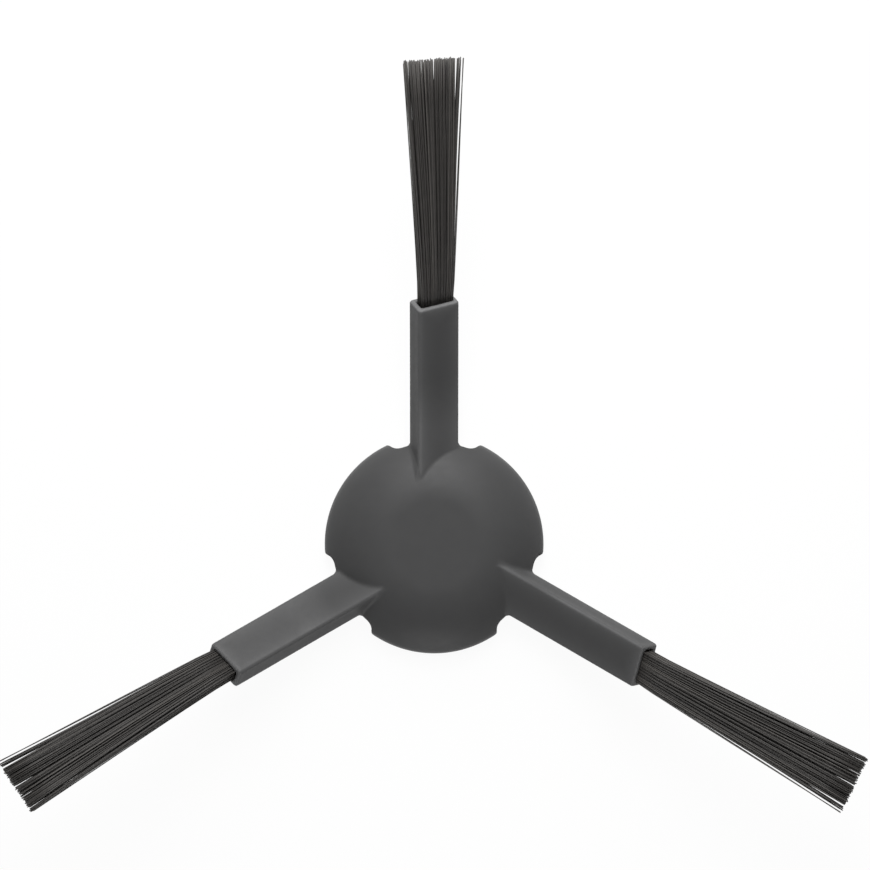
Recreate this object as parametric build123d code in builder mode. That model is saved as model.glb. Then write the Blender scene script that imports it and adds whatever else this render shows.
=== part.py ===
from build123d import *
import os
from math import cos, radians, sin, sqrt, tan

# Robot vacuum side brush: a soft moulded hub with three rolled sleeve arms, a rigid drive core in the
# hub's underside, and a fanned tuft of nylon filaments in the mouth of each sleeve.
# Millimetres. The origin is on the turning axis in the plane of the hub's rim, +Z points out of the dome,
# and the first arm runs along +Y. The sizes below are set one by one, and all others follow from them.

# Hub: a flat crown, a round shoulder and a short upright skirt.
hub_diameter = 38.0
hub_height = 8.2
crown_diameter = 15.0
skirt_height = 2.5
rim_round = 2.5
hub_wall = 1.6

# Arms: a rolled, bevelled rectangle that leaves the hub level, bends up and ends in a slanted mouth.
arm_count = 3
arm_width = 7.7
arm_thickness = 4.25
arm_bevel = 0.45
arm_roll = 25.5
arm_axis_height = 4.3
bend_start = 20.3
bend_radius = 21.4
arm_tilt = 26.0
mouth_reach = 41.7
mouth_slant = 8.5
mouth_bevel = 0.2

# Pocket inside each sleeve, open at its mouth.
sleeve_wall = 0.9
pocket_depth = 11.0

# Arches in the skirt, one under each arm.
arch_width = 16.0
arch_height = 3.95
arch_corner = 2.5

# Boss on the hub's underside, which grips the drive core.
boss_diameter = 17.0
boss_recess = 0.7

# Drive core: a round stem with a notched flange on top, and a square socket for the drive shaft.
core_diameter = 11.4
core_recess = 0.4
core_height = 6.0
flange_diameter = 13.6
flange_thickness = 1.2
key_diameter = 2.4
socket_width = 6.6
socket_depth = 5.0
socket_lead_in = 0.4
lug_length = 3.0
lug_radius = 0.45
lug_depth = 1.6

# Tufts: straight filaments in a staggered lattice, set in a root block at the bottom of the pocket.
filament_width = 0.28
column_pitch = 0.42
row_pitch = 0.6
tuft_columns = 13
tuft_rows = 4
tuft_length = 44.4
tuft_fan = 1.83
tip_stagger = 1.2
stagger_step = 0.618
root_recess = 2.5
root_anchor = 1.5

# Gaps between separate pieces that fit together.
core_clearance = 0.05
root_clearance = 0.05

# Sizes that follow from the ones above.
hub_radius = hub_diameter / 2
crown_radius = crown_diameter / 2
boss_radius = boss_diameter / 2
shoulder_run = hub_radius - crown_radius
shoulder_drop = hub_height - skirt_height
shoulder_radius = (shoulder_run**2 + shoulder_drop**2) / (2 * shoulder_drop)
shoulder_centre = hub_height - shoulder_radius
arm_step = 360 / arm_count
cavity_radius = hub_radius - hub_wall
bend_end = bend_start + bend_radius * sin(radians(arm_tilt))
bend_end_height = arm_axis_height + bend_radius * (1 - cos(radians(arm_tilt)))
sleeve_length = (mouth_reach - bend_end) / cos(radians(arm_tilt))
mouth_height = bend_end_height + (mouth_reach - bend_end) * tan(radians(arm_tilt))
mouth_overrun = arm_width
pocket_width = arm_width - 2 * sleeve_wall
pocket_thickness = arm_thickness - 2 * sleeve_wall
filament_length = tuft_length + root_recess + root_anchor


def section_plane(reach, height, tilt):
    """Cross-section plane of an arm: its normal runs outwards, its local x along the arm's wide side."""
    roll = radians(arm_roll)
    rise = radians(tilt)
    return Plane(
        origin=(0, reach, height),
        x_dir=(-cos(roll), -sin(roll) * sin(rise), sin(roll) * cos(rise)),
        z_dir=(0, cos(rise), sin(rise)),
    )


arm_root_plane = section_plane(0, arm_axis_height, 0)
sleeve_plane = section_plane(mouth_reach, mouth_height, arm_tilt)
mouth_plane = section_plane(mouth_reach, mouth_height, arm_tilt + mouth_slant)


def cavity_height(reach):
    """Height of the shoulder's inner face over the rim plane, one wall inside its outer face."""
    return shoulder_centre + sqrt((shoulder_radius - hub_wall) ** 2 - (reach - crown_radius) ** 2)


def core_blank(clearance):
    """Outside of the drive core, a stem with a notched flange, each face moved out by the clearance."""
    with BuildPart() as blank:
        with BuildSketch(Plane.XY.offset(core_recess)):
            Circle(core_diameter / 2 + clearance)
        extrude(amount=core_height + clearance)
        with BuildSketch(Plane.XY.offset(core_recess + core_height - flange_thickness - clearance)):
            Circle(flange_diameter / 2 + clearance)
            with PolarLocations(flange_diameter / 2, arm_count, start_angle=arm_step / 4):
                Circle(key_diameter / 2 - clearance, mode=Mode.SUBTRACT)
        extrude(amount=flange_thickness + 2 * clearance)
    return blank.part


# One solid arm, from the turning axis to its mouth.
with BuildPart() as arm:
    with BuildLine(Plane.YZ):
        level_run = Line((0, arm_axis_height), (bend_start, arm_axis_height))
        bend = JernArc(level_run @ 1, level_run % 1, bend_radius, arm_tilt)
        PolarLine(bend @ 1, sleeve_length + mouth_overrun, direction=bend % 1)
    with BuildSketch(arm_root_plane) as arm_section:
        Rectangle(arm_width, arm_thickness)
        chamfer(arm_section.vertices(), arm_bevel)
    sweep()
    split(bisect_by=mouth_plane, keep=Keep.BOTTOM)
    chamfer(arm.faces().sort_by(Axis.Y)[-1].edges(), mouth_bevel)

# Space inside one sleeve, from the bottom of its pocket out past the mouth.
with BuildPart() as pocket:
    with BuildSketch(sleeve_plane.offset(-pocket_depth)):
        Rectangle(pocket_width, pocket_thickness)
    extrude(amount=pocket_depth + mouth_overrun)

# Space of one arch around its arm, from the boss out past the skirt, half of it below the rim plane.
with BuildPart() as arch:
    with BuildSketch(Plane(origin=(0, boss_radius, 0), x_dir=(-1, 0, 0), z_dir=(0, 1, 0))):
        RectangleRounded(arch_width, 2 * arch_height, arch_corner)
    extrude(amount=hub_diameter)
    add(arm.part, mode=Mode.SUBTRACT)

# Hollow of the hub around the boss and the roots of the arms, with a conical roof under the shoulder.
with BuildPart() as cavity:
    with BuildSketch(Plane.XZ):
        with BuildLine():
            Polyline(
                (0, 0),
                (0, boss_recess),
                (boss_radius, boss_recess),
                (boss_radius, cavity_height(boss_radius)),
                (cavity_radius, cavity_height(cavity_radius)),
                (cavity_radius, 0),
                close=True,
            )
        make_face()
    revolve(axis=Axis.Z)
    with PolarLocations(0, arm_count):
        add(arm.part, mode=Mode.SUBTRACT)

# Soft moulding: dome, skirt with arches, boss and the three sleeve arms.
with BuildPart() as hub_body:
    with BuildSketch(Plane.XZ) as dome_profile:
        with BuildLine():
            Polyline((hub_radius, skirt_height), (hub_radius, 0), (0, 0), (0, hub_height), (crown_radius, hub_height))
            TangentArc((crown_radius, hub_height), (hub_radius, skirt_height), tangent=(1, 0))
        make_face()
        fillet(dome_profile.vertices().group_by(Axis.X)[-1].sort_by(Axis.Y)[-1], rim_round)
    revolve(axis=Axis.Z)
    with PolarLocations(0, arm_count):
        add(arm.part)
    add(cavity.part, mode=Mode.SUBTRACT)
    with PolarLocations(0, arm_count):
        add(arch.part, mode=Mode.SUBTRACT)
        add(pocket.part, mode=Mode.SUBTRACT)
    add(core_blank(core_clearance), mode=Mode.SUBTRACT)

# Rigid drive core with a lead-in at the socket's mouth and a snap lug on two opposite walls.
with BuildPart() as drive_core:
    add(core_blank(0))
    with BuildSketch(Plane.XY.offset(core_recess)):
        Rectangle(socket_width, socket_width)
    extrude(amount=socket_depth, mode=Mode.SUBTRACT)
    socket_mouth = drive_core.faces().sort_by(Axis.Z)[0].inner_wires()
    chamfer(socket_mouth.edges(), socket_lead_in)
    with GridLocations(socket_width, 0, 2, 1):
        with Locations((0, 0, core_recess + lug_depth)):
            Cylinder(lug_radius, lug_length, rotation=(90, 0, 0))

# One tuft, in the first sleeve: a root block and filaments that fan out from it to staggered tips.
with BuildPart() as tuft:
    with BuildSketch(sleeve_plane.offset(root_clearance - pocket_depth)):
        Rectangle(pocket_width - 2 * root_clearance, pocket_thickness - 2 * root_clearance)
    extrude(amount=pocket_depth - root_recess - root_clearance)
    for column in range(tuft_columns):
        for row in range(tuft_rows):
            row_level = row - (tuft_rows - 1) / 2
            across = (column - (tuft_columns - 1) / 2 + row_level / tuft_rows) * column_pitch
            up = row_level * row_pitch
            stagger = tip_stagger * ((column * tuft_rows + row) * stagger_step % 1)
            start = sleeve_plane.from_local_coords((across, up, -root_recess))
            end = sleeve_plane.from_local_coords((across * tuft_fan, up * tuft_fan, tuft_length))
            outward = (end - start).normalized()
            with BuildSketch(Plane(origin=start - outward * (root_anchor + stagger), z_dir=outward)):
                Rectangle(filament_width, filament_width)
    extrude(amount=filament_length)

os.makedirs("parts", exist_ok=True)
hub_body.part.label = "hub_body"
export_step(hub_body.part, "parts/hub_body.step")
drive_core.part.label = "drive_core"
export_step(drive_core.part, "parts/drive_core.step")
for number in range(arm_count):
    with BuildPart() as bristle_tuft:
        add(tuft.part, rotation=(0, 0, number * arm_step))
    bristle_tuft.part.label = f"bristle_tuft_{number + 1}"
    export_step(bristle_tuft.part, f"parts/bristle_tuft_{number + 1}.step")
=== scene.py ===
from math import cos, pi, radians, sin, tan

import bpy
import numpy as np
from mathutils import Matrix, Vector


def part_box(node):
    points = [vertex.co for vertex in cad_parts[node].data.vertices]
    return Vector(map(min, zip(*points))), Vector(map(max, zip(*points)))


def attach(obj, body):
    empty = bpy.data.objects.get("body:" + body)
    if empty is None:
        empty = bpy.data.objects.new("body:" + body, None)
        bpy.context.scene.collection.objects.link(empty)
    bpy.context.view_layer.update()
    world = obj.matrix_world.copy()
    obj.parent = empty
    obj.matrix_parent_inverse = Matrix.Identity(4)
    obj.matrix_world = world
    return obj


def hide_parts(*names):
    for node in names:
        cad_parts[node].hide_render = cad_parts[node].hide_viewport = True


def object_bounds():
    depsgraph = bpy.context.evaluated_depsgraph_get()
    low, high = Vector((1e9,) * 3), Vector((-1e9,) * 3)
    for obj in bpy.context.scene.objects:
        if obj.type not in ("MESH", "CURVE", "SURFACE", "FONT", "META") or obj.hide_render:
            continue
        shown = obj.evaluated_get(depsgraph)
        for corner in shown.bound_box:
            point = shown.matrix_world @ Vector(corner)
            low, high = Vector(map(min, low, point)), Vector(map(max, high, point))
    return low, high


bl_info = {
    "name": "Side brush",
    "version": (1, 0, 0),
    "blender": (4, 5, 0),
    "location": "3D View > Sidebar > Side brush",
    "description": "Dresses the frame of a robot vacuum side brush: hub, drive core and bristle tufts",
    "category": "Object",
}

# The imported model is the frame. Metres, the origin on the turning axis in the plane of the hub's rim,
# +Z out of the dome, and the first of the three arms along +Y.
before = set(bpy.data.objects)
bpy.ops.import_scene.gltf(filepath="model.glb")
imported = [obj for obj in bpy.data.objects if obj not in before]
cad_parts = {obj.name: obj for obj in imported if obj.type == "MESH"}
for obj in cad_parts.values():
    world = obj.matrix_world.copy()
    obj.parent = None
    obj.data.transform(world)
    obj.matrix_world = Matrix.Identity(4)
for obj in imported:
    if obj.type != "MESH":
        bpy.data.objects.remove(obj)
cad_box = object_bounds()
core_low, core_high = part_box("drive_core")

ARM_COUNT = 3
ARM_STEP = 2 * pi / ARM_COUNT

# Stands in for zero where a direction or a quotient needs a length.
TINY = 1e-9


def length(name, description, default):
    """A length in metres that a user can change."""
    return bpy.props.FloatProperty(
        name=name, description=description, default=default, min=0.0, precision=5, unit="LENGTH"
    )


def angle(name, description, degrees):
    """An angle that a user can change, held in radians."""
    return bpy.props.FloatProperty(
        name=name, description=description, default=radians(degrees), subtype="ANGLE"
    )


def number(name, description, default):
    """A plain number that a user can change."""
    return bpy.props.FloatProperty(name=name, description=description, default=default, precision=3)


def whole(name, description, default, lowest):
    """A whole number that a user can change."""
    return bpy.props.IntProperty(name=name, description=description, default=default, min=lowest)


def colour(name, description, default):
    """A linear colour that a user can change."""
    return bpy.props.FloatVectorProperty(
        name=name, description=description, default=default, size=3, min=0.0, max=1.0, subtype="COLOR"
    )


class SideBrushHub(bpy.types.PropertyGroup):
    """Sizes of the dome, its hollow underside, its arches and its soft edges."""

    diameter: length("Diameter", "Across the skirt", 0.038)
    height: length("Height", "From the rim to the crown", 0.0082)
    crown_diameter: length("Crown", "Across the flat middle of the dome", 0.015)
    skirt_height: length("Skirt", "Height of the upright skirt under the shoulder", 0.0025)
    rim_round: length("Rim round", "Round between the shoulder and the skirt", 0.0025)
    wall: length("Wall", "Thickness of the dome and the skirt", 0.0016)
    boss_diameter: length("Boss", "Across the boss around the drive core", 0.017)
    boss_recess: length("Boss recess", "How far the boss stays above the rim", 0.0007)
    arch_width: length("Arch width", "Width of the opening in the skirt under each arm", 0.016)
    arch_height: length("Arch height", "Height of the opening in the skirt under each arm", 0.00395)
    arch_corner: length("Arch corner", "Round at the arch's upper corners", 0.0025)
    join_round: length("Join round", "Fillet where an arm grows out of the shoulder", 0.0015)
    root_round: length("Root round", "Fillet where an arm passes the skirt and the underside", 0.0005)
    edge_round: length("Edge round", "Softness of the moulding's sharp edges", 0.0002)
    # The paler tone is a painted highlight along the arms' edges and mouth lips, and a painted reflection
    # along the dome's rim: its reach and its shares.
    highlight_span: length("Wear span", "How far the rubbed paler tone reaches in from an edge", 0.0012)
    edge_highlight: number("Edge wear", "Share of the worn colour along the arms' edges", 0.44)
    rim_highlight: number("Rim wear", "Share of the worn colour along the dome's rim", 0.32)
    mesh_step: length("Mesh step", "Spacing of the grid that the moulding is surfaced on", 0.00034)


class SideBrushArm(bpy.types.PropertyGroup):
    """Sizes of one sleeve arm and the pocket in its mouth."""

    width: length("Width", "Wide side of the arm's section", 0.0077)
    thickness: length("Thickness", "Narrow side of the arm's section", 0.00425)
    corner: length("Corner", "Round along the arm's four edges", 0.0006)
    roll: angle("Roll", "Turn of the section about the arm's own axis", 25.5)
    axis_height: length("Axis height", "Height of the arm's axis where it leaves the hub", 0.0043)
    bend_start: length("Bend start", "Reach at which the arm starts to bend up", 0.0203)
    bend_radius: length("Bend radius", "Radius of the bend", 0.0214)
    tilt: angle("Tilt", "Rise of the sleeve after the bend", 26.0)
    mouth_reach: length("Mouth reach", "From the turning axis to the middle of the mouth", 0.0417)
    mouth_slant: angle("Mouth slant", "Lean of the mouth from a square cut", 8.5)
    mouth_round: length("Mouth round", "Round along the mouth's outer edge", 0.0004)
    sleeve_wall: length("Sleeve wall", "Wall around the pocket", 0.0009)
    pocket_depth: length("Pocket depth", "Depth of the pocket from the mouth", 0.011)


class SideBrushCore(bpy.types.PropertyGroup):
    """Sizes of the rigid drive core and its socket."""

    stem_diameter: length("Stem", "Across the round stem", 0.0114)
    flange_thickness: length("Flange", "Thickness of the flange on top of the stem", 0.0012)
    key_diameter: length("Keys", "Across the three notches that stop the core turning in the hub", 0.0024)
    clearance: length("Clearance", "Gap between the core and the hub", 0.00005)
    socket_width: length("Socket width", "Across the square socket for the drive shaft", 0.0066)
    socket_depth: length("Socket depth", "Depth of the socket", 0.005)
    lead_in: length("Lead-in", "Bevel at the socket's mouth", 0.0004)
    lug_length: length("Lug length", "Length of the lugs on two of the socket's walls", 0.003)
    lug_radius: length("Lug radius", "How far the lugs stand out", 0.00045)
    lug_depth: length("Lug depth", "From the socket's mouth to the lugs", 0.0016)
    edge_round: length("Edge round", "Softness of the core's edges", 0.00015)
    mesh_step: length("Mesh step", "Spacing of the grid that the core is surfaced on", 0.0002)


class SideBrushTuft(bpy.types.PropertyGroup):
    """Sizes and scatter of one tuft of filaments."""

    columns: whole("Columns", "Filaments across the pocket", 26, 2)
    rows: whole("Rows", "Layers of filaments in the pocket", 10, 2)
    filament_radius: length("Filament radius", "Radius of one filament", 0.000088)
    trim_reach: length("Trim reach", "From the turning axis to the longest tips in the middle", 0.0813)
    trim_slope: number("Trim slope", "How much further out tips on the right are, per length across", 0.09)
    root_recess: length("Root recess", "From the mouth down to the root block", 0.0025)
    root_anchor: length("Root anchor", "How deep the filaments stand in the root block", 0.0005)
    root_gap: length("Root gap", "Gap between the root block and the pocket", 0.00005)
    root_scatter: number("Root scatter", "Sideways shift of a root, as a share of a column's space", 0.2)
    left_gap: length("Left gap", "Room that the roots leave at the pocket's left end", 0.0002)
    tip_left: length("Tip left", "Spread of the tips to the left, seen from above", 0.00512)
    tip_right: length("Tip right", "Spread of the tips to the right, seen from above", 0.00490)
    ragged_side: length("Ragged side", "How far the lowest layer falls short of the right side", 0.0010)
    tip_lift: number("Tip lift", "Height of the tuft at its tips over that at its roots", 1.0)
    tip_scatter: length("Tip scatter", "Differences in length between filaments", 0.0006)
    straightness: number("Straightness", "Share of the spread that grows evenly from root to tip", 0.85)
    lean: length("Lean", "Shift of the whole tuft to the right a quarter of the way out", 0.00026)
    sway: length("Sway", "Sideways wander of a filament", 0.00009)
    parting_reach: length("Parting reach", "How far filaments beside a parting give way", 0.0006)
    tone: number("Tone", "Share of pale nylon in the middle of the tuft", 0.35)
    tone_lean: number("Tone lean", "How much less pale nylon the right side has than the middle", 0.09)
    tone_scatter: number("Tone scatter", "Differences in tone between filaments", 0.28)
    seed: whole("Seed", "Number that fixes the scatter", 11, 0)


class SideBrushFinish(bpy.types.PropertyGroup):
    """Colours and sheen of the three finishes, and the floor's colour."""

    rubber: colour("Rubber", "Moulded hub and arms", (0.050, 0.050, 0.0505))
    # Pale colour of the painted highlight on the moulding's edges and mouth lips, and of the painted
    # reflection on its rim.
    rubber_highlight: colour("Worn rubber", "Rubbed edges of the moulding", (0.146, 0.146, 0.1475))
    rubber_sheen: number("Rubber sheen", "Specular level of the rubber", 0.15)
    plastic: colour("Plastic", "Drive core", (0.040, 0.040, 0.042))
    nylon: colour("Nylon", "Darkest filaments", (0.030, 0.0285, 0.0275))
    nylon_pale: colour("Pale nylon", "Lightest filaments", (0.082, 0.077, 0.072))
    nylon_sheen: number("Nylon sheen", "Specular level of the filaments", 0.2)
    floor: colour("Floor", "Plain floor", (0.92, 0.92, 0.92))


class SideBrushStage(bpy.types.PropertyGroup):
    """Camera, lights and floor."""

    camera_height: length("Camera height", "From the rim's plane up to the camera", 0.841)
    lens: number("Lens", "Focal length in millimetres", 200.0)
    sensor: number("Sensor", "Width of the camera's sensor in millimetres", 36.0)
    frame_right: number("Frame right", "Share of the picture that the axis lies left of the middle", 0.001)
    frame_up: number("Frame up", "Share of the picture that the axis lies below the middle", 0.1253)
    key_power: number("Key power", "Watts of the high soft light beyond the first arm", 1.11)
    key_elevation: angle("Key elevation", "Height of that light over the floor", 58.0)
    low_power: number("Low power", "Watts of the soft light below the key", 1.18)
    low_elevation: angle("Low elevation", "Height of that light over the floor", 34.0)
    back_power: number("Back power", "Watts of the soft light on the opposite side", 0.90)
    back_elevation: angle("Back elevation", "Height of that light over the floor", 3.0)
    lamp_size: length("Lamp size", "Side of each square soft light", 0.22)
    lamp_distance: length("Lamp distance", "From the middle of the hub's rim to each light", 0.38)
    sky: number("Sky", "Strength of the even light all round", 0.01)
    floor_half: length("Floor half", "Half of the floor's side", 3.0)
    floor_gap: length("Floor gap", "How far the floor lies under the rim", 0.00005)
    floor_white: number("Floor white", "Share of plain white in the floor as the camera sees it", 0.95)


def soft_union(first, second, radius):
    """Union of two distance fields, with a round of that radius in the corner where they meet.

    Outside the corner it is the smaller distance. Within one radius of both, it is the radius less the
    hypotenuse of how far each distance falls short of the radius.
    """
    inner = np.hypot(np.maximum(radius - first, 0), np.maximum(radius - second, 0))
    return np.maximum(radius, np.minimum(first, second)) - inner


def soft_overlap(first, second, radius):
    """What two distance fields share, with its edge rounded: the outsides' union, turned inside out."""
    return -soft_union(-first, -second, radius)


def soft_cut(first, second, radius):
    """The first distance field without the second, with its edge rounded."""
    return soft_overlap(first, -second, radius)


def box_distance(across, up, half_width, half_height, corner):
    """Distance to a rectangle with round corners: that to its inner rectangle, less the corner's radius."""
    over = np.abs(across) - (half_width - corner)
    above = np.abs(up) - (half_height - corner)
    outside = np.hypot(np.maximum(over, 0), np.maximum(above, 0))
    return outside + np.minimum(np.maximum(over, above), 0) - corner


def box_normal(across, up, half_width, half_height, corner):
    """Direction in which the distance to that rectangle grows near its outline, as its two parts."""
    over = np.maximum(np.abs(across) - (half_width - corner), TINY)
    above = np.maximum(np.abs(up) - (half_height - corner), TINY)
    size = np.hypot(over, above)
    return np.sign(across) * over / size, np.sign(up) * above / size


def shoulder_arc(hub):
    """Radius of the shoulder's arc and the height of its centre: level at the crown, down to the skirt."""
    run = (hub.diameter - hub.crown_diameter) / 2
    drop = hub.height - hub.skirt_height
    radius = (run**2 + drop**2) / (2 * drop)
    return radius, hub.height - radius


def dome_field(radial, height, hub):
    """Distance to the dome's outside, and the outward and upward parts of its normal.

    The crown and shoulder are one arc's radius away from a disc as wide as the crown, the skirt is a
    cylinder, and the rim between them is rounded. The round leaves both faces where a true one would, at
    its radius times one less the cosine of the angle between their normals.
    """
    arc_radius, arc_height = shoulder_arc(hub)
    out = np.maximum(radial - hub.crown_diameter / 2, 0)
    rise = height - arc_height
    reach = np.hypot(out, rise)
    shoulder = reach - arc_radius
    skirt = radial - hub.diameter / 2
    rim = hub.rim_round * (1 - (hub.diameter - hub.crown_diameter) / 2 / arc_radius)
    on_shoulder = np.maximum(rim + shoulder, TINY)
    on_skirt = np.maximum(rim + skirt, TINY)
    size = np.hypot(on_shoulder, on_skirt)
    outward = (on_shoulder * out / reach + on_skirt) / size
    upward = on_shoulder * rise / reach / size
    return soft_overlap(shoulder, skirt, rim), outward, upward


def hollow_field(radial, height, hub):
    """Distance to the dome's hollow: under a conical roof and inside the skirt's wall, around the boss."""
    arc_radius, arc_height = shoulder_arc(hub)
    inner = arc_radius - hub.wall
    boss = hub.boss_diameter / 2
    wall = hub.diameter / 2 - hub.wall
    start = arc_height + np.sqrt(inner**2 - (boss - hub.crown_diameter / 2) ** 2)
    end = arc_height + np.sqrt(inner**2 - (wall - hub.crown_diameter / 2) ** 2)
    fall = (start - end) / (wall - boss)
    roof = (height - start + fall * (radial - boss)) / np.hypot(1, fall)
    room = soft_overlap(roof, radial - wall, 2 * hub.edge_round)
    core_boss = soft_overlap(radial - boss, hub.boss_recess - height, hub.edge_round)
    return soft_cut(room, core_boss, 2 * hub.edge_round)


def first_sector(points):
    """Places across and along the first arm, with each point turned about the axis into its sector."""
    x, y = points[0], points[1]
    turn = np.round((np.arctan2(y, x) - pi / 2) / ARM_STEP) * ARM_STEP
    return x * np.cos(turn) + y * np.sin(turn), y * np.cos(turn) - x * np.sin(turn)


def core_field(points, core, gap, edge_round):
    """Distance to the drive core's outside, grown by a gap: a stem, and a flange with three notches."""
    across, out = first_sector(points)
    height = points[2]
    radial = np.hypot(across, out)
    top = core_high.z + gap
    shelf = core_high.z - core.flange_thickness - gap
    flange_radius = core_high.x
    stem = soft_overlap(radial - core.stem_diameter / 2 - gap, height - top, edge_round)
    notch_out = flange_radius * cos(ARM_STEP / 2)
    notch_across = flange_radius * sin(ARM_STEP / 2)
    notch = np.hypot(np.abs(across) - notch_across, out - notch_out) - core.key_diameter / 2 + gap
    flange = soft_cut(radial - flange_radius - gap, notch, edge_round)
    flange = soft_overlap(flange, np.maximum(height - top, shelf - height), edge_round)
    return soft_union(stem, flange, edge_round)


def drive_core_field(points, core):
    """Distance to the drive core: its outside above the core's foot, without the square socket.

    The socket widens at its mouth by the lead-in, and a round lug stands out of its left and right walls.
    """
    x, y, height = points
    foot = core_low.z
    half = core.socket_width / 2
    body = soft_overlap(core_field(points, core, 0, core.edge_round), foot - height, core.edge_round)
    walls = box_distance(x, y, half, half, core.edge_round)
    bevel = (walls - foot - core.lead_in + height) / np.sqrt(2)
    socket = np.maximum(np.minimum(walls, bevel), height - foot - core.socket_depth)
    lug = np.hypot(np.abs(x) - half, height - foot - core.lug_depth) - core.lug_radius
    lug = soft_overlap(lug, np.abs(y) - core.lug_length / 2, core.edge_round)
    return soft_cut(body, soft_cut(socket, lug, core.edge_round / 2), core.edge_round / 2)


def arm_course(out, height, arm):
    """Offset above the arm's axis in its upright plane, and the axis's lean there.

    The lean is the angle round the bend's centre, held between level and the sleeve's tilt, so that the
    straight runs at both ends carry on from the bend.
    """
    centre = arm.axis_height + arm.bend_radius
    lean = np.clip(np.arctan2(out - arm.bend_start, centre - height), 0, arm.tilt)
    foot_out = arm.bend_start + arm.bend_radius * np.sin(lean)
    foot_height = centre - arm.bend_radius * np.cos(lean)
    offset = (height - foot_height) * np.cos(lean) - (out - foot_out) * np.sin(lean)
    return offset, lean


def arm_section(across, out, height, arm):
    """Places along the wide and the narrow side of the arm's rolled section, and the arm's lean there."""
    offset, lean = arm_course(out, height, arm)
    wide = offset * sin(arm.roll) - across * cos(arm.roll)
    thick = offset * cos(arm.roll) + across * sin(arm.roll)
    return wide, thick, lean


def mouth_height(arm):
    """Height of the arm's axis at its mouth: up the bend, then up the straight sleeve."""
    bend_out = arm.bend_start + arm.bend_radius * sin(arm.tilt)
    bend_height = arm.axis_height + arm.bend_radius * (1 - cos(arm.tilt))
    return bend_height + (arm.mouth_reach - bend_out) * tan(arm.tilt)


def mouth_distance(out, height, lean, arm):
    """Distance beyond a plane through the middle of the mouth whose normal rises by that lean."""
    return (out - arm.mouth_reach) * cos(lean) + (height - mouth_height(arm)) * sin(lean)


# Least share of a fillet that is kept where an arm's face runs on from the dome's.
LEAST_FILLET = 0.02


def moulding_field(points, hub, arm, core):
    """Distance to the whole soft moulding, below zero inside it.

    Each point is first turned about the axis into the sector of the first arm, so one arm stands for all.
    The dome loses its hollow and the arch, the arm is joined on with a fillet, and the pocket, the room
    for the core and everything below the rim are cut away. The fillet grows with the angle between the faces
    it joins, as one less the product of their normals. On the shoulder it also goes with the cube of how
    far the dome faces up, and past the skirt and underneath the smaller root round takes over.
    """
    across, out = first_sector(points)
    height = points[2]
    radial = np.hypot(across, out)

    dome, dome_out, dome_up = dome_field(radial, height, hub)
    arch = box_distance(across, height, hub.arch_width / 2, hub.arch_height, hub.arch_corner)
    arch = np.maximum(arch, hub.boss_diameter / 2 - out)
    shell = soft_cut(dome, hollow_field(radial, height, hub), hub.edge_round)
    shell = soft_cut(shell, arch, hub.edge_round)

    wide, thick, lean = arm_section(across, out, height, arm)
    section = (arm.width / 2, arm.thickness / 2, arm.corner)
    mouth = mouth_distance(out, height, arm.tilt + arm.mouth_slant, arm)
    sleeve = soft_overlap(box_distance(wide, thick, *section), mouth, arm.mouth_round)

    wide_part, thick_part = box_normal(wide, thick, *section)
    arm_across = thick_part * sin(arm.roll) - wide_part * cos(arm.roll)
    arm_lift = thick_part * cos(arm.roll) + wide_part * sin(arm.roll)
    spread = np.maximum(radial, TINY)
    dome_lift = dome_up * np.cos(lean) - dome_out * out / spread * np.sin(lean)
    alike = dome_out * across / spread * arm_across + dome_lift * arm_lift
    apart = np.clip(1 - alike, LEAST_FILLET, 1)
    under = np.clip(-dome / hub.wall, 0, 1)
    fillet = np.maximum(hub.join_round * dome_up**3 * apart, hub.root_round * np.maximum(apart, under))
    body = soft_union(shell, sleeve, fillet)

    depth = mouth_distance(out, height, arm.tilt, arm) + arm.pocket_depth
    room = (section[0] - arm.sleeve_wall, section[1] - arm.sleeve_wall, hub.edge_round)
    pocket = np.maximum(box_distance(wide, thick, *room), -depth)
    body = soft_cut(body, pocket, hub.edge_round)
    body = soft_cut(body, core_field(points, core, core.clearance, 0), hub.edge_round)
    return soft_overlap(body, -height, hub.edge_round)


def close_by(distance, span):
    """1 within half a span, falling evenly to 0 at one and a half."""
    return np.clip(1.5 - distance / span, 0, 1)


def painted_highlight_share(points, hub, arm):
    """Share of the pale painted highlight at each point of the moulding's surface, from 0 to 1.

    It falls off as an exponential with the distance from an arm's four long edges, from its mouth's edge and
    from the dome's rim, where it is a painted reflection. An arm's painted highlight stays on the arm: it
    ends at the fillet and at the dome. The lip of the mouth itself is painted pale all over.
    """
    across, out = first_sector(points)
    height = points[2]
    radial = np.hypot(across, out)
    wide, thick, _ = arm_section(across, out, height, arm)
    half_wide, half_thick = arm.width / 2, arm.thickness / 2
    corner = np.hypot(half_wide - np.abs(wide), half_thick - np.abs(thick))
    mouth = np.abs(mouth_distance(out, height, arm.tilt + arm.mouth_slant, arm))
    skin = np.abs(box_distance(wide, thick, half_wide, half_thick, arm.corner))
    dome, _, _ = dome_field(radial, height, hub)
    bare = close_by(skin, hub.edge_round) * np.clip(dome / (2 * hub.edge_round), 0, 1)
    arm_painted_highlight = hub.edge_highlight * np.exp(-np.minimum(corner, mouth) / hub.highlight_span) * bare
    rim = np.hypot(radial - hub.diameter / 2, height - hub.skirt_height)
    # Painted reflection along the dome's rim.
    rim_painted_reflection = hub.rim_highlight * np.exp(-rim / hub.highlight_span)
    return np.maximum(np.maximum(arm_painted_highlight, rim_painted_reflection), close_by(mouth, hub.edge_round))


def field_slope(field, points, step):
    """Gradient of a distance field by central differences, as a 3 by n array."""
    shifts = np.eye(3)[:, :, None] * step
    return np.stack([field(points + shift) - field(points - shift) for shift in shifts]) / (2 * step)


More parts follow.
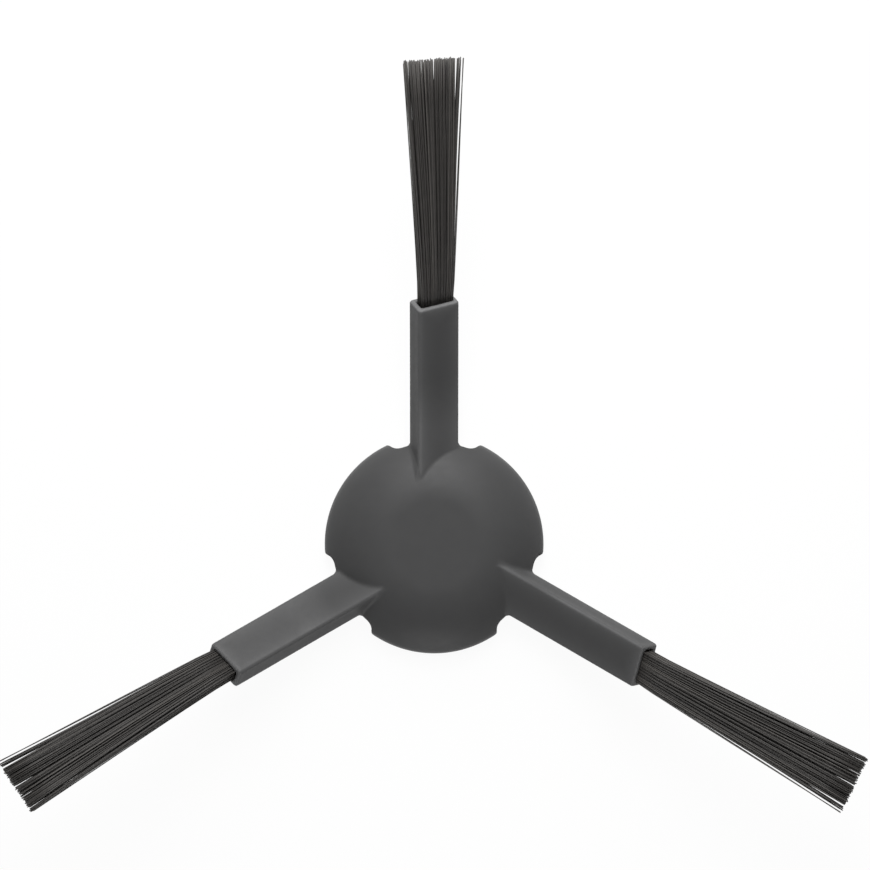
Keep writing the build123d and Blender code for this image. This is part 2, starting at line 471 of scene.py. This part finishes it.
def untangle(value):
    """Changes a grid of distances in place so that no square of the grid is crossed on all its four sides.

    Two sheets of the surface would touch along an edge there. The square's corner that lies nearest to the
    surface changes sides instead.
    """
    square = np.array(((0, 0, 0), (0, 1, 0), (1, 0, 0), (1, 1, 0)))
    for plane in ((0, 1), (1, 2), (2, 0)):
        view = np.moveaxis(value, plane, (0, 1))
        inside = view < 0
        first, second = np.diff(inside, axis=0), np.diff(inside, axis=1)
        corner = np.argwhere(first[:, 1:] & first[:, :-1] & second[1:] & second[:-1])
        around = corner[:, None] + square
        nearest = np.abs(view[tuple(np.moveaxis(around, -1, 0))]).argmin(axis=1)
        view[tuple(around[np.arange(len(corner)), nearest].T)] *= -1


# Rounds of untangling the grid, of narrowing down a crossing and of sliding a vertex onto the surface.
UNTANGLINGS = 3
NARROWINGS = 4
SLIDES = 3

# Parts of a grid step for taking a slope: small ones to place vertices, larger ones for smooth normals.
PLACE_PARTS = 30
NORMAL_PARTS = 10

# How firmly a vertex is held to the middle of its crossings, and the least squared slope that divides a
# slide, so that no slide runs away where the field is nearly level.
HOLD = 0.05
LEAST_SLOPE = 0.25


def level_surface(field, low, high, step):
    """Points, as a 3 by n array, and quads of the surface where a distance field is zero.

    The field is worked out on a grid. Each grid edge that the surface crosses gives a crossing, narrowed down
    along the edge, with the field's slope there as its normal, and a quad between the four cells around the
    edge. A cell's vertex is the point nearest to the planes through its crossings, so edges and corners stay
    crisp. The vertices then slide along the slope onto the surface.
    """
    axes = [np.arange(start, end, step) for start, end in zip(low, high)]
    shape = [len(axis) for axis in axes]
    value = field(np.stack(np.meshgrid(*axes, indexing="ij")).reshape(3, -1)).reshape(shape)
    for _ in range(UNTANGLINGS):
        untangle(value)
    crossings, quads = [], []
    for main in range(3):
        ahead, left, right = np.roll(np.eye(3, dtype=int), -main, axis=0)
        corner = np.argwhere(np.diff(value < 0, axis=main))
        near, far = value[tuple(corner.T)], value[tuple((corner + ahead).T)]
        around = np.stack([corner - left - right, corner - right, corner, corner - left], axis=1)
        cell = np.ravel_multi_index(np.moveaxis(around, -1, 0), shape)
        quads.append(np.where((near < 0)[:, None], cell, cell[:, ::-1]))
        near_share, far_share = np.zeros(len(corner)), np.ones(len(corner))
        for _ in range(NARROWINGS):
            share = near_share + (far_share - near_share) * near / (near - far)
            place = (np.array(low) + step * (corner + share[:, None] * ahead)).T
            found = field(place)
            nearer = (found < 0) == (near < 0)
            near, far = np.where(nearer, found, near), np.where(nearer, far, found)
            near_share, far_share = np.where(nearer, share, near_share), np.where(nearer, far_share, share)
        crossings.append(place)

    crossing = np.concatenate(crossings, axis=1)
    normal = field_slope(field, crossing, step / PLACE_PARTS)
    normal = normal / np.maximum(np.linalg.norm(normal, axis=0), TINY)
    cells, owner = np.unique(np.concatenate(quads), return_inverse=True)
    owner = owner.reshape(-1, 4).T

    def gathered(values):
        """Sum of one number per crossing over the crossings of each cell."""
        return np.bincount(owner.ravel(), np.tile(values, 4), len(cells))

    count = gathered(np.ones(crossing.shape[1]))
    middle = np.stack([gathered(part) for part in crossing]) / count
    level = (normal * crossing).sum(axis=0)
    planes = np.stack([[gathered(one * other) for other in normal] for one in normal])
    pull = np.stack([gathered(part * level) for part in normal]) - np.einsum("ijn,jn->in", planes, middle)
    steady = planes.transpose(2, 0, 1) + HOLD * np.eye(3)
    move = np.linalg.solve(steady, pull.T[:, :, None])[:, :, 0].T
    points = middle + np.clip(move, -step, step)
    for _ in range(SLIDES):
        slope = field_slope(field, points, step / PLACE_PARTS)
        move = field(points) * slope / np.maximum((slope**2).sum(axis=0), LEAST_SLOPE)
        points = points - np.clip(move, -step / 3, step / 3)
    return points, owner.T


def turned(points, turn):
    """Points, as an n by 3 array, turned about the axis by an angle."""
    return points @ np.array(((cos(turn), sin(turn), 0), (-sin(turn), cos(turn), 0), (0, 0, 1)))


def new_piece(name, points, faces, material):
    """A smooth mesh piece at the origin, from an n by 3 array of points and rows of corner numbers."""
    mesh = bpy.data.meshes.new(name)
    mesh.from_pydata(points.tolist(), [], faces)
    mesh.polygons.foreach_set("use_smooth", np.ones(len(mesh.polygons), dtype=bool))
    mesh.materials.append(material)
    mesh.update()
    piece = bpy.data.objects.new(name, mesh)
    bpy.context.scene.collection.objects.link(piece)
    return piece


def add_attribute(piece, name, values):
    """Keeps one number per vertex on a piece, for its material to read."""
    piece.data.attributes.new(name, "FLOAT", "POINT").data.foreach_set("value", values.astype(np.float32))


# Grid steps that are left free around a node, and twice over at its far end, where a range stops short.
MARGIN_STEPS = 2.5


def surfaced_piece(name, field, node, step, material):
    """A mesh piece on the level surface of a field around a CAD node, and its points, as a 3 by n array.

    The hub and the core are made this way, because fillets of changing radius and soft edges all round don't
    lie on a grid of two parameters. The field's slope gives the piece's vertex normals, so flat faces stay
    flat and rounds stay smooth.
    """
    low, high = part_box(node)
    margin = MARGIN_STEPS * step
    start = [part - margin for part in low]
    end = [part + 2 * margin for part in high]
    points, quads = level_surface(field, start, end, step)
    if len(quads) == 0:
        raise RuntimeError(f"the sizes of {name} leave no surface")
    piece = new_piece(name, points.T, quads.tolist(), material)
    slope = field_slope(field, points, step / NORMAL_PARTS)
    normals = slope / np.maximum(np.linalg.norm(slope, axis=0), TINY)
    piece.data.normals_split_custom_set_from_vertices(normals.T.tolist())
    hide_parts(node)
    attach(piece, "root")
    return piece, points


def fill(tree, socket, value):
    """Links a socket to another one, or gives it a value."""
    if isinstance(value, bpy.types.NodeSocket):
        tree.links.new(value, socket)
    else:
        socket.default_value = value


def node_adder(tree):
    """A function that adds a node to a tree, sets its settings and sets or links its sockets by name."""

    def add(kind, settings=None, **sockets):
        node = tree.nodes.new(kind)
        for key, value in (settings or {}).items():
            setattr(node, key, value)
        for key, value in sockets.items():
            fill(tree, node.inputs[key.replace("_", " ")], value)
        return node

    return add


def new_material(name):
    """A material with nodes, its tree, its shader, and a function that adds a node."""
    material = bpy.data.materials.new(name)
    material.use_nodes = True
    tree = material.node_tree
    return material, tree, tree.nodes["Principled BSDF"], node_adder(tree)


def combined(tree, add, operation, first, second):
    """Socket that joins two values, each a number or a socket, by an operation such as MAXIMUM."""
    node = add("ShaderNodeMath", {"operation": operation})
    fill(tree, node.inputs[0], first)
    fill(tree, node.inputs[1], second)
    return node.outputs[0]


# Places of a mix node's sockets for colours: its two inputs, and its result.
MIX_COLOURS = (6, 7)
MIX_RESULT = 2


def mixed_colour(tree, add, share, first, second):
    """Socket that goes from the first colour to the second with a share, each a colour or a socket."""
    mix = add("ShaderNodeMix", {"data_type": "RGBA"})
    fill(tree, mix.inputs[0], share)
    for place, value in zip(MIX_COLOURS, (first, second)):
        fill(tree, mix.inputs[place], value if isinstance(value, bpy.types.NodeSocket) else (*value, 1))
    return mix.outputs[MIX_RESULT]


def toned(tone, factor):
    """A colour times a factor."""
    return [factor * part for part in tone]


# Range in which most values of a noise pattern lie.
NOISE_RANGE = (0.3, 0.7)


def noise(add, place, scale, detail):
    """Socket of a noise pattern in object space, with about that many blotches to the metre."""
    return add("ShaderNodeTexNoise", Vector=place, Scale=scale, Detail=detail).outputs["Fac"]


def rescaled(add, value, old, new):
    """Socket that takes a value from an old range to a new one, held inside it."""
    sockets = {"From_Min": old[0], "From_Max": old[1], "To_Min": new[0], "To_Max": new[1]}
    return add("ShaderNodeMapRange", Value=value, **sockets).outputs["Result"]


def moulded_rubber(finish):
    """Satin rubber: cloudy colour, a pale painted highlight along the edges, and the mould's fine grain in
    gloss and bump.
    """
    material, tree, shader, add = new_material("moulded_rubber")
    place = add("ShaderNodeTexCoord").outputs["Object"]
    cloud = rescaled(add, noise(add, place, scale=350.0, detail=3.0), NOISE_RANGE, (0.0, 0.35))
    # Pale painted highlight along the edges and lips and painted reflection along the rim, read per vertex.
    rubbed = add("ShaderNodeAttribute", {"attribute_name": "rubbed"}).outputs["Fac"]
    patchy = rescaled(add, noise(add, place, scale=1400.0, detail=3.0), NOISE_RANGE, (0.85, 1.0))
    edge = combined(tree, add, "MULTIPLY", rubbed, patchy)
    base = mixed_colour(tree, add, cloud, finish.rubber, toned(finish.rubber, 0.86))
    base = mixed_colour(tree, add, edge, base, finish.rubber_highlight)
    grain = noise(add, place, scale=5200.0, detail=2.0)
    bump = add("ShaderNodeBump", Strength=0.12, Distance=0.00004, Height=grain).outputs["Normal"]
    gloss = rescaled(add, noise(add, place, scale=900.0, detail=4.0), NOISE_RANGE, (0.44, 0.52))
    tree.links.new(base, shader.inputs["Base Color"])
    tree.links.new(gloss, shader.inputs["Roughness"])
    tree.links.new(bump, shader.inputs["Normal"])
    shader.inputs["Specular IOR Level"].default_value = finish.rubber_sheen
    return material


def matt_plastic(finish):
    """Hard matt plastic with an eroded mould texture and faint cloudiness."""
    material, tree, shader, add = new_material("matt_plastic")
    place = add("ShaderNodeTexCoord").outputs["Object"]
    cloud = rescaled(add, noise(add, place, scale=500.0, detail=4.0), NOISE_RANGE, (0.0, 1.0))
    base = mixed_colour(tree, add, cloud, finish.plastic, toned(finish.plastic, 1.25))
    texture = add("ShaderNodeTexVoronoi", Vector=place, Scale=4200.0).outputs["Distance"]
    bump = add("ShaderNodeBump", Strength=0.25, Distance=0.00005, Height=texture).outputs["Normal"]
    gloss = rescaled(add, cloud, (0.0, 1.0), (0.5, 0.62))
    tree.links.new(base, shader.inputs["Base Color"])
    tree.links.new(gloss, shader.inputs["Roughness"])
    tree.links.new(bump, shader.inputs["Normal"])
    return material


def drawn_nylon(finish):
    """Drawn nylon filament: its own tone, paler towards the worn tip, with a satin sheen and some dust."""
    material, tree, shader, add = new_material("drawn_nylon")
    place = add("ShaderNodeTexCoord").outputs["Object"]
    tone = add("ShaderNodeAttribute", {"attribute_name": "tone"}).outputs["Fac"]
    along = add("ShaderNodeAttribute", {"attribute_name": "along"}).outputs["Fac"]
    dust = rescaled(add, noise(add, place, scale=700.0, detail=3.0), (0.35, 0.75), (0.0, 0.12))
    worn = rescaled(add, along, (0.45, 1.0), (0.0, 0.14))
    base = mixed_colour(tree, add, tone, finish.nylon, finish.nylon_pale)
    base = mixed_colour(tree, add, worn, base, finish.nylon_pale)
    base = mixed_colour(tree, add, dust, base, toned(finish.nylon_pale, 1.4))
    gloss = rescaled(add, tone, (0.0, 1.0), (0.36, 0.5))
    tree.links.new(base, shader.inputs["Base Color"])
    tree.links.new(gloss, shader.inputs["Roughness"])
    shader.inputs["Specular IOR Level"].default_value = finish.nylon_sheen
    return material


def seen_directly(tree, add):
    """Socket that is 1 where the camera, a gloss or a clear surface sees something, and 0 for its light."""
    path = add("ShaderNodeLightPath").outputs
    seen = combined(tree, add, "MAXIMUM", path["Is Camera Ray"], path["Is Glossy Ray"])
    return combined(tree, add, "MAXIMUM", seen, path["Is Transmission Ray"])


class SIDE_BRUSH_OT_hub(bpy.types.Operator):
    """Makes the soft moulding: dome, skirt with arches, boss and three sleeve arms in one skin"""

    bl_idname = "side_brush.hub"
    bl_label = "Make the hub"

    def execute(self, context):
        scene = context.scene
        hub, arm, core = scene.side_brush_hub, scene.side_brush_arm, scene.side_brush_core

        def field(points):
            return moulding_field(points, hub, arm, core)

        material = moulded_rubber(scene.side_brush_finish)
        piece, points = surfaced_piece("hub_moulding", field, "hub_body", hub.mesh_step, material)
        # Each vertex keeps its share of the painted highlight and rim reflection.
        add_attribute(piece, "rubbed", painted_highlight_share(points, hub, arm))
        return {"FINISHED"}


class SIDE_BRUSH_OT_core(bpy.types.Operator):
    """Makes the rigid drive core with its square socket, lead-in and lugs"""

    bl_idname = "side_brush.core"
    bl_label = "Make the drive core"

    def execute(self, context):
        core = context.scene.side_brush_core

        def field(points):
            return drive_core_field(points, core)

        material = matt_plastic(context.scene.side_brush_finish)
        piece, _ = surfaced_piece("core_plug", field, "drive_core", core.mesh_step, material)
        return {"FINISHED"}


# Partings that open towards a tuft's tips, seen from above: share of the filaments that lie to the left, how
# far it opens, and the share of the length at which it starts.
PARTINGS = (
    (0.995, 0.00030, 0.10),
    (0.982, 0.00020, 0.30),
    (0.935, 0.00042, 0.28),
    (0.075, 0.00020, 0.62),
    (0.520, 0.00021, 0.80),
    (0.310, 0.00021, 0.82),
)

# Share of the space between two columns by which each row lies further left than the one below it, wrapped
# round. The golden section spreads the rows evenly, so no gap between columns shows through all of them.
ROW_SHIFT = 0.618

# Rings along a filament and corners of each ring.
FILAMENT_RINGS = 8
FILAMENT_SIDES = 6

# Corners of the root block's section, and the round at its corners as a share of half its thickness.
BLOCK_SIDES = 24
BLOCK_CORNER = 0.3

# Size of the root block's section at its bottom, above it, below its top and at its top, between end caps
# that are drawn in to nearly nothing.
BLOCK_SIZES = (0.01, 0.85, 1.0, 1.0, 0.9, 0.01)


def filament_courses(tuft, arm, stations):
    """Places of every filament's axis at the given shares of its length.

    The roots fill the pocket's rolled section in staggered rows. A filament fans out from its root to its
    place across the tips, part evenly and part with the square of its length. It leans to the right along
    a half wave of the length's root, sways along a half wave of the length itself, and gives way at each
    parting, less with an exponential of its distance. The tips are trimmed along one slanted line, apart
    from some scatter. The result's last axis is right, seen from above, up from the sleeve's axis, and
    out of the mouth.
    """
    scatter = np.random.default_rng(tuft.seed)
    count = tuft.columns * tuft.rows
    column, row = np.divmod(np.arange(count), tuft.rows)
    half_wide = arm.width / 2 - arm.sleeve_wall - tuft.filament_radius
    half_thick = arm.thickness / 2 - arm.sleeve_wall - tuft.filament_radius
    stagger = (row * ROW_SHIFT) % 1 + scatter.uniform(-tuft.root_scatter, tuft.root_scatter, count)
    leftward = (column + stagger) / tuft.columns
    layer = 2 * row / (tuft.rows - 1) - 1
    wide = np.clip(leftward, 0, 1) * (2 * half_wide - tuft.left_gap) - half_wide
    thick = layer * half_thick
    root_right = thick * sin(arm.roll) - wide * cos(arm.roll)
    root_up = wide * sin(arm.roll) + thick * cos(arm.roll)

    ragged = tuft.ragged_side * (1 - layer) / 2
    tip_right = tuft.tip_right - ragged - leftward * (tuft.tip_right + tuft.tip_left - ragged)
    tip_right = tip_right + scatter.normal(0, tuft.filament_radius, count)
    tip_up = tuft.tip_lift * root_up + scatter.normal(0, 2 * tuft.filament_radius, count)
    share = stations[None, :]
    grown = tuft.straightness * share + (1 - tuft.straightness) * share**2
    wave = np.sin(pi * share)
    right = root_right[:, None] + (tip_right - root_right)[:, None] * grown
    right = right + tuft.lean * np.sin(pi * share**0.5) + scatter.normal(0, tuft.sway, (count, 1)) * wave
    up = root_up[:, None] + (tip_up - root_up)[:, None] * share**2
    up = up + scatter.normal(0, tuft.sway, (count, 1)) * wave
    for share_left, opening, start in PARTINGS:
        beside = (tip_right - np.quantile(tip_right, share_left))[:, None]
        give = np.sign(beside) * np.exp(-np.abs(beside) / tuft.parting_reach) * opening / 2
        right = right + give * np.clip((share - start) / (1 - start), 0, 1)

    short = scatter.uniform(0, tuft.tip_scatter, count)
    trim = tuft.trim_reach + tuft.trim_slope * tip_right - short
    reach = (trim - arm.mouth_reach + tip_up * sin(arm.tilt)) / cos(arm.tilt)
    below = tuft.root_recess + tuft.root_anchor
    out = share * (reach + below)[:, None] - below
    return np.stack([right, up, out], axis=-1)


def filament_tones(tuft, tips):
    """Share of pale nylon in each filament: scattered about a middle that falls off to the right."""
    scatter = np.random.default_rng(tuft.seed + 1)
    middle = tuft.tone - tuft.tone_lean * tips / np.abs(tips).max()
    return np.clip(middle + scatter.normal(0, tuft.tone_scatter, len(tips)), 0, 1)


def out_of_pocket(places, arm):
    """Places right of, up from and out along the first sleeve's axis, as points in the frame."""
    right, up, out = np.moveaxis(places, -1, 0)
    y = arm.mouth_reach + out * cos(arm.tilt) - up * sin(arm.tilt)
    z = mouth_height(arm) + out * sin(arm.tilt) + up * cos(arm.tilt)
    return np.stack([right, y, z], axis=-1)


def tube_faces(courses, stations, sides, first):
    """Faces of many tubes, closed at both ends: a quad for each side between two stations, and two caps.

    The rings are numbered course by course, station by station, side by side. A ring runs counter-clockwise
    as seen from its tube's far end, which turns the faces outwards.
    """
    course, station, side = np.meshgrid(
        np.arange(courses), np.arange(stations - 1), np.arange(sides), indexing="ij"
    )
    ring = (course * stations + station) * sides + first
    after = (side + 1) % sides
    quads = np.stack([ring + side, ring + after, ring + sides + after, ring + sides + side], axis=-1)
    caps = (np.arange(courses) * stations * sides)[:, None] + np.arange(sides) + first
    ends = caps + (stations - 1) * sides
    return quads.reshape(-1, 4).tolist() + caps[:, ::-1].tolist() + ends.tolist()


def root_block(tuft, arm, first):
    """Points and faces of the block that holds the roots, with its corners numbered from first.

    A rectangle with round corners is carried from the pocket's bottom up to the roots and drawn in at both
    ends.
    """
    turn = np.arange(BLOCK_SIDES) * 2 * pi / BLOCK_SIDES
    half_wide = arm.width / 2 - arm.sleeve_wall - tuft.root_gap
    half_thick = arm.thickness / 2 - arm.sleeve_wall - tuft.root_gap
    corner = BLOCK_CORNER * half_thick
    wide = np.sign(np.cos(turn)) * (half_wide - corner) + corner * np.cos(turn)
    thick = np.sign(np.sin(turn)) * (half_thick - corner) + corner * np.sin(turn)
    bottom, top = tuft.root_gap - arm.pocket_depth, -tuft.root_recess
    levels = np.array((bottom, bottom, bottom + corner, top - corner, top, top))
    sizes = np.array(BLOCK_SIZES)[:, None]
    right = sizes * (thick * sin(arm.roll) - wide * cos(arm.roll))
    up = sizes * (wide * sin(arm.roll) + thick * cos(arm.roll))
    places = np.stack(np.broadcast_arrays(right, up, levels[:, None]), axis=-1)
    return out_of_pocket(places, arm).reshape(-1, 3), tube_faces(1, len(levels), BLOCK_SIDES, first)


class SIDE_BRUSH_OT_tufts(bpy.types.Operator):
    """Makes the three tufts: fine filaments that fan out of a root block in each sleeve's pocket"""

    bl_idname = "side_brush.tufts"
    bl_label = "Make the tufts"

    def execute(self, context):
        tuft, arm = context.scene.side_brush_tuft, context.scene.side_brush_arm
        material = drawn_nylon(context.scene.side_brush_finish)
        stations = np.linspace(0, 1, FILAMENT_RINGS)
        courses = filament_courses(tuft, arm, stations)
        turn = np.arange(FILAMENT_SIDES) * 2 * pi / FILAMENT_SIDES
        ring = np.stack([np.cos(turn), -np.sin(turn), np.zeros(FILAMENT_SIDES)], axis=1)
        tubes = courses[:, :, None, :] + tuft.filament_radius * ring
        points = out_of_pocket(tubes, arm).reshape(-1, 3)
        faces = tube_faces(len(courses), FILAMENT_RINGS, FILAMENT_SIDES, 0)
        block_points, block_faces = root_block(tuft, arm, len(points))
        points = np.concatenate([points, block_points])
        faces = faces + block_faces

        plain = np.zeros(len(block_points))
        tone = np.repeat(filament_tones(tuft, courses[:, -1, 0]), FILAMENT_RINGS * FILAMENT_SIDES)
        tone = np.concatenate([tone, plain])
        along = np.tile(np.repeat(stations, FILAMENT_SIDES), len(courses))
        along = np.concatenate([along, plain])
        for place in range(ARM_COUNT):
            piece = new_piece(f"tuft_{place + 1}", turned(points, place * ARM_STEP), faces, material)
            add_attribute(piece, "tone", tone)
            add_attribute(piece, "along", along)
            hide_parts(f"bristle_tuft_{place + 1}")
            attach(piece, "root")
        return {"FINISHED"}


# Nearest and furthest thing that the camera shows, in metres.
CAMERA_RANGE = (0.05, 20.0)


class SIDE_BRUSH_OT_stage(bpy.types.Operator):
    """Sets the pale floor, the soft light and the camera straight above the hub"""

    bl_idname = "side_brush.stage"
    bl_label = "Set the stage"

    def execute(self, context):
        scene = context.scene
        stage = scene.side_brush_stage
        scene.view_settings.view_transform = "Standard"
        self.floor(stage, scene.side_brush_finish)
        self.sky(scene, stage)
        self.lamp("key", stage.key_power, 0, stage.key_elevation, stage)
        self.lamp("low", stage.low_power, 0, stage.low_elevation, stage)
        self.lamp("back", stage.back_power, pi, stage.back_elevation, stage)

        camera = bpy.data.cameras.new("above")
        camera.lens = stage.lens
        camera.sensor_width = stage.sensor
        camera.shift_x = stage.frame_right
        camera.shift_y = stage.frame_up
        camera.clip_start, camera.clip_end = CAMERA_RANGE
        holder = bpy.data.objects.new("above", camera)
        holder.location = (0, 0, stage.camera_height)
        scene.collection.objects.link(holder)
        scene.camera = holder
        return {"FINISHED"}

    def floor(self, stage, finish):
        """A square floor under the rim that looks white to the camera, apart from a soft shadow."""
        material, tree, shader, add = new_material("floor")
        shader.inputs["Roughness"].default_value = 0.9
        shader.inputs["Base Color"].default_value = (*finish.floor, 1)
        glow = add("ShaderNodeEmission", Color=(1, 1, 1, 1), Strength=1.0)
        share = combined(tree, add, "MULTIPLY", seen_directly(tree, add), stage.floor_white)
        blend = add("ShaderNodeMixShader")
        tree.links.new(share, blend.inputs[0])
        tree.links.new(shader.outputs["BSDF"], blend.inputs[1])
        tree.links.new(glow.outputs["Emission"], blend.inputs[2])
        tree.links.new(blend.outputs["Shader"], tree.nodes["Material Output"].inputs["Surface"])
        corners = np.array(((-1, -1, 0), (1, -1, 0), (1, 1, 0), (-1, 1, 0)))
        points = stage.floor_half * corners + (0, 0, cad_box[0].z - stage.floor_gap)
        new_piece("floor", points, [(0, 1, 2, 3)], material)

    def sky(self, scene, stage):
        """Even light all round, white where the camera, a gloss or a clear surface sees it."""
        world = bpy.data.worlds.new("sky")
        world.use_nodes = True
        tree = world.node_tree
        add = node_adder(tree)
        background = tree.nodes["Background"]
        background.inputs["Color"].default_value = (1, 1, 1, 1)
        strength = rescaled(add, seen_directly(tree, add), (0.0, 1.0), (stage.sky, 1.0))
        tree.links.new(strength, background.inputs["Strength"])
        scene.world = world

    def lamp(self, name, power, bearing, elevation, stage):
        """A square soft light that faces the origin from a bearing, clockwise from +Y, and an elevation."""
        light = bpy.data.lights.new(name, "AREA")
        light.energy = power
        light.size = stage.lamp_size
        holder = bpy.data.objects.new(name, light)
        level = stage.lamp_distance * cos(elevation)
        rise = stage.lamp_distance * sin(elevation)
        holder.location = (level * sin(bearing), level * cos(bearing), rise)
        holder.rotation_euler = (elevation - pi / 2, 0, -bearing)
        holder.visible_camera = False
        bpy.context.scene.collection.objects.link(holder)


class SIDE_BRUSH_PT_panel(bpy.types.Panel):
    """Sizes, colours and steps of the side brush"""

    bl_idname = "SIDE_BRUSH_PT_panel"
    bl_label = "Side brush"
    bl_space_type = "VIEW_3D"
    bl_region_type = "UI"
    bl_category = "Side brush"

    def draw(self, context):
        for holder in GROUPS:
            group = getattr(context.scene, holder)
            box = self.layout.box()
            for name in group.__annotations__:
                box.prop(group, name)
        for step in STEPS:
            self.layout.operator(step.bl_idname)


GROUPS = {
    "side_brush_hub": SideBrushHub,
    "side_brush_arm": SideBrushArm,
    "side_brush_core": SideBrushCore,
    "side_brush_tuft": SideBrushTuft,
    "side_brush_finish": SideBrushFinish,
    "side_brush_stage": SideBrushStage,
}
STEPS = (SIDE_BRUSH_OT_hub, SIDE_BRUSH_OT_core, SIDE_BRUSH_OT_tufts, SIDE_BRUSH_OT_stage)


def register():
    """Registers the classes and hangs each group of sizes on the scene."""
    for made in (*GROUPS.values(), *STEPS, SIDE_BRUSH_PT_panel):
        bpy.utils.register_class(made)
    for holder, group in GROUPS.items():
        setattr(bpy.types.Scene, holder, bpy.props.PointerProperty(type=group))


def unregister():
    """Takes the groups off the scene and the classes out again, in the opposite order."""
    for holder in GROUPS:
        delattr(bpy.types.Scene, holder)
    for made in (SIDE_BRUSH_PT_panel, *reversed(STEPS), *reversed(GROUPS.values())):
        bpy.utils.unregister_class(made)


def main():
    """Registers the add-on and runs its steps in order."""
    register()
    bpy.ops.side_brush.hub()
    bpy.ops.side_brush.core()
    bpy.ops.side_brush.tufts()
    bpy.ops.side_brush.stage()
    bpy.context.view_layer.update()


if __name__ == "__main__":
    main()
